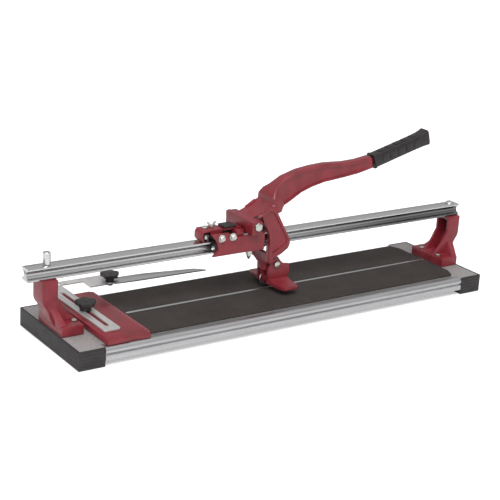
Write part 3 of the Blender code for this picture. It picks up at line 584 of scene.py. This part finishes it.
def drill(piece, radius, *places):
    # Cuts upright holes that go right through.
    for place in places:
        mesh = bpy.data.meshes.new("drill")
        work = bmesh.new()
        bmesh.ops.create_cone(work, cap_ends=True, segments=roundSides, radius1=radius * mm,
                              radius2=radius * mm, depth=drillDepth * mm)
        work.to_mesh(mesh)
        work.free()
        tool = bpy.data.objects.new("drill", mesh)
        tool.location = place
        scene.collection.objects.link(tool)
        hole = piece.modifiers.new("hole", "BOOLEAN")
        hole.object = tool
        hole.solver = "EXACT"
        settle(piece)
        bpy.data.objects.remove(tool, do_unlink=True)


# Rail and side profiles, swept
profile = {"end": 345.7, "beadPlace": (93.3, 23.1), "beadRadius": 6.6}


def makeRail():
    h, top, low = rail["half"], rail["top"], rail["bottom"]
    corner, flat, land, step, lip = (rail[k] for k in ("corner", "flat", "land", "step", "lip"))
    groove = arcPoints(h + rail["grooveOut"], (top + low) / 2, rail["grooveRadius"], 99, 261, 28)
    half = [(h - corner, top), (h - flat, top - flat), (h, top - corner), (h, top - land),
            (h - step, top - lip)] + groove[1:-1]
    half += [(h - step, low + lip), (h, low + land), (h, low + corner), (h - flat, low + flat),
             (h - corner, low)]
    section = half + [(-y, z) for y, z in reversed(half)]
    piece = grow("rail", sectionMesh(section), sweptSection, "railChrome",
                 start=world(rail["left"], 0, 0).x, end=world(rail["right"], 0, 0).x)
    drill(piece, rail["hole"], world(-rail["screw"], 0, rail["holeMiddle"]),
          world(rail["screw"], 0, rail["holeMiddle"]))
    smoothByAngle(piece.data, 30)
    fitPiece(piece, "railChrome", "rail")


def makeProfiles():
    y, z = profile["beadPlace"]
    section = [(85.6, 29.7), (88.0, 29.7), (88.4, 29.4), (88.8, 29.4), (89.2, 29.7)]
    section += arcPoints(y, z, profile["beadRadius"], 90, -50, 30)
    section += [(97.9, 17.5), (99.5, 17.0), (99.8, 16.6), (99.8, 8.7), (99.5, 8.4), (97.4, 8.4),
                (97.4, 14.6), (88.2, 14.6), (88.2, 8.4), (85.6, 8.4)]
    for node, side in (("side_profile_rear", 1), ("side_profile_front", -1)):
        turned = [(side * v, w) for v, w in section]
        piece = grow(placeName(node), sectionMesh(turned), sweptSection, "drawnAluminium",
                     start=world(-profile["end"], 0, 0).x, end=world(profile["end"], 0, 0).x)
        smoothByAngle(piece.data, 30)
        fitPiece(piece, "drawnAluminium", node)


# Bolts, one shape repeated
boltHead = {"chamfer": 0.7, "crown": 0.93}
postBolt = {"flats": 8.0, "head": 3.6, "radius": 3.0, "shank": 24.0, "seat": 44.9,
            "spanX": 717.0, "spanY": 43.0, "turn": 1.0, "seed": 4}
axleBolt = {"flats": 9.0, "head": 4.2, "radius": 3.0, "shank": 56.0, "washer": 1.0,
            "washerRadius": 6.2, "place": (-105.5, -24.3, 140.5), "step": 21.0}


def boltMesh(bolt):
    # Hexagon bolt with a chamfered head; local z=0 is under its head or washer.
    flats, head, washer = bolt["flats"], bolt["head"], bolt.get("washer", 0.0)
    chamferLow = washer + head - boltHead["chamfer"]
    corner = flats / math.sqrt(3)
    work = bmesh.new()

    def disc(bottomRadius, topRadius, low, high, sides):
        made = bmesh.ops.create_cone(work, cap_ends=True, segments=sides,
                                     radius1=bottomRadius * mm, radius2=topRadius * mm,
                                     depth=(high - low) * mm)
        bmesh.ops.translate(work, verts=made["verts"], vec=(0, 0, (low + high) / 2 * mm))

    mesh = bpy.data.meshes.new("bolt")
    disc(corner, corner, washer, chamferLow, 6)
    disc(corner, flats / 2 * boltHead["crown"], chamferLow, washer + head, 6)
    bmesh.ops.remove_doubles(work, verts=work.verts, dist=1e-6)
    inner = [f for f in work.faces
             if abs(f.calc_center_median().z - chamferLow * mm) < 1e-6]
    bmesh.ops.delete(work, geom=inner, context="FACES_ONLY")
    if washer:
        disc(bolt["washerRadius"], bolt["washerRadius"], 0.0, washer, roundSides)
    disc(bolt["radius"], bolt["radius"], -bolt["shank"], 0.0, 24)
    work.to_mesh(mesh)
    work.free()
    return mesh


def layOnSide(mesh):
    # Turns a bolt so that its head faces the front.
    mesh.transform(Matrix.Rotation(math.pi / 2, 4, "X"))
    return mesh


def makeBolts():
    bolts = grow("postBolts", boltMesh(postBolt), repeatedOnGrid, "zincSteel", countX=2, countY=2,
                 sizeX=postBolt["spanX"] * mm, sizeY=postBolt["spanY"] * mm,
                 centre=world(0, 0, postBolt["seat"]), turn=postBolt["turn"], seed=postBolt["seed"])
    smoothByAngle(bolts.data, 35)
    fitPiece(bolts, "zincSteel", "post_bolt_left_front", "post_bolt_left_rear",
             "post_bolt_right_front", "post_bolt_right_rear")
    axles = growRow("rollerAxles", layOnSide(boltMesh(axleBolt)), "zincSteel", count=2,
                    start=world(*axleBolt["place"]), step=(axleBolt["step"] * mm, 0, 0))
    smoothByAngle(axles.data, 35)
    fitPiece(axles, "zincSteel", "roller_axle_2", "roller_axle_3")


# Marks and ribs in rows
tick = {"size": (1.6, 0.35, 0.06), "place": (-267.2, -85.0, 36.02), "count": 36, "step": 5.0,
        "every": 2, "longer": (1.9, 1, 1)}
capRib = {"count": 5, "bottom": 4.6, "step": 5.2, "deep": 0.7, "tall": 0.5,
          "endX": 390.1, "endLength": 196.0, "sideX": 368, "sideY": 100.6, "sideLength": 39.0}


def makeRows():
    ticks = growRow("scaleTicks", boxMesh(tick["size"]), "scaleInk", count=tick["count"],
                    start=world(*tick["place"]), step=(0, tick["step"] * mm, 0),
                    every=tick["every"], longer=tick["longer"])
    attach(ticks, "base")
    onEnd = (capRib["deep"], capRib["endLength"], capRib["tall"])
    onSide = (capRib["sideLength"], capRib["deep"], capRib["tall"])
    endX, sideX, sideY = capRib["endX"], capRib["sideX"], capRib["sideY"]
    for name, x, y, size in (("capRibsLeft", -endX, 0, onEnd),
                             ("capRibsRight", endX, 0, onEnd),
                             ("capRibsLeftFront", -sideX, -sideY, onSide),
                             ("capRibsRightFront", sideX, -sideY, onSide),
                             ("capRibsLeftRear", -sideX, sideY, onSide),
                             ("capRibsRightRear", sideX, sideY, onSide)):
        ribs = growRow(name, boxMesh(size), "darkGreyPlastic", count=capRib["count"],
                       start=world(x, y, capRib["bottom"]), step=(0, 0, capRib["step"] * mm))
        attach(ribs, "base")


# Grip pads, in a row along the top and the sides of the grip
gripPad = {"gripStart": (203.0, 0, 228.6), "gripEnd": (321.0, 0, 260.5), "first": 24.0,
           "step": 17.5, "count": 5, "edge": 0.4,
           "topSize": (12.0, 11.0, 1.6), "topUp": 11.8,
           "sideSize": (12.0, 1.4, 13.0), "sideOut": 10.4}


def makeGripPads():
    start, end = world(*gripPad["gripStart"]), world(*gripPad["gripEnd"])
    ahead = (end - start).normalized()
    lift = Vector((-ahead.z, 0, ahead.x))
    angle = math.atan2(ahead.z, ahead.x)
    topSize, sideSize, out = gripPad["topSize"], gripPad["sideSize"], gripPad["sideOut"]
    for name, size, across, up in (("gripPadsTop", topSize, 0.0, gripPad["topUp"]),
                                   ("gripPadsFront", sideSize, -out, 0.0),
                                   ("gripPadsRear", sideSize, out, 0.0)):
        pad = boxMesh(size)
        pad.transform(Matrix.Rotation(-angle, 4, "Y"))
        first = start + ahead * gripPad["first"] * mm + lift * up * mm
        first += Vector((0, across * mm, 0))
        pads = growRow(name, pad, "gripRubber", count=gripPad["count"], start=first,
                       step=ahead * gripPad["step"] * mm)
        edges = pads.modifiers.new("edges", "BEVEL")
        edges.width = gripPad["edge"] * mm
        edges.segments = 2
        settle(pads)
        smoothByAngle(pads.data, 35)
        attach(pads, "lever")


# CAD shapes with their sharp edges rounded
edgeAngles = {"rounded": 28, "shaded": 40}
softened = {      # node: (edge radius in mm, segments, finish)
    "post_left": (0.8, 3, "redPaint"), "post_right": (0.8, 3, "redPaint"),
    "fence": (0.6, 2, "redPaint"),
    "carriage_plate_front": (0.8, 3, "redPaint"), "carriage_plate_rear": (0.8, 3, "redPaint"),
    "carriage_bridge": (0.7, 2, "redPaint"), "nose_bracket": (0.6, 2, "redPaint"),
    "lever_casting": (1.1, 3, "redPaint"), "snapping_foot": (1.1, 3, "redPaint"),
    "end_cap_left": (0.5, 2, "blackPlastic"), "end_cap_right": (0.5, 2, "blackPlastic"),
    "clamp_knob": (0.7, 2, "blackPlastic"), "blade_knob": (0.7, 2, "blackPlastic"),
    "guide_shoe_front": (0.4, 2, "blackPlastic"), "guide_shoe_rear": (0.4, 2, "blackPlastic"),
    "grip": (0.8, 2, "gripRubber"),
    "mat_front": (0.4, 2, "matRubber"), "mat_rear": (0.4, 2, "matRubber"),
    "rubber_bumper": (0.7, 2, "gripRubber"),
    "snapping_ridge": (0.5, 2, "drawnAluminium"),
    "slotted_bar": (0.3, 2, "brushedPlate"), "gauge_bracket": (0.3, 2, "brushedPlate"),
    "gauge_blade": (0.3, 2, "drawnAluminium"),
    "deck_plate": (0.3, 2, "speckledDeck"),
    "roller_1": (0.6, 3, "blackPlastic"), "roller_2": (0.6, 3, "blackPlastic"),
    "roller_3": (0.6, 3, "blackPlastic"),
    "pivot_bolt": (0.5, 2, "zincSteel"), "foot_bolt": (0.4, 2, "zincSteel"),
    "roller_axle_1": (0.4, 2, "zincSteel"), "nose_bolt": (0.4, 2, "zincSteel"),
    "wing_screw": (0.4, 2, "zincSteel"),
}


def softenEdges():
    for node, (radius, segments, finish) in softened.items():
        piece = bpy.data.objects.new(placeName(node), mergedMesh(node))
        scene.collection.objects.link(piece)
        edges = piece.modifiers.new("edges", "BEVEL")
        edges.width = radius * mm
        edges.segments = segments
        edges.limit_method = "ANGLE"
        edges.angle_limit = math.radians(edgeAngles["rounded"])
        edges.use_clamp_overlap = True
        edges.miter_outer = "MITER_ARC"
        settle(piece)
        smoothByAngle(piece.data, edgeAngles["shaded"])
        fitPiece(piece, finish, node)


softenEdges()
print("edges softened")
makeRail()
makeProfiles()
makeBolts()
makeRows()
makeGripPads()
print("swept and repeated pieces made")
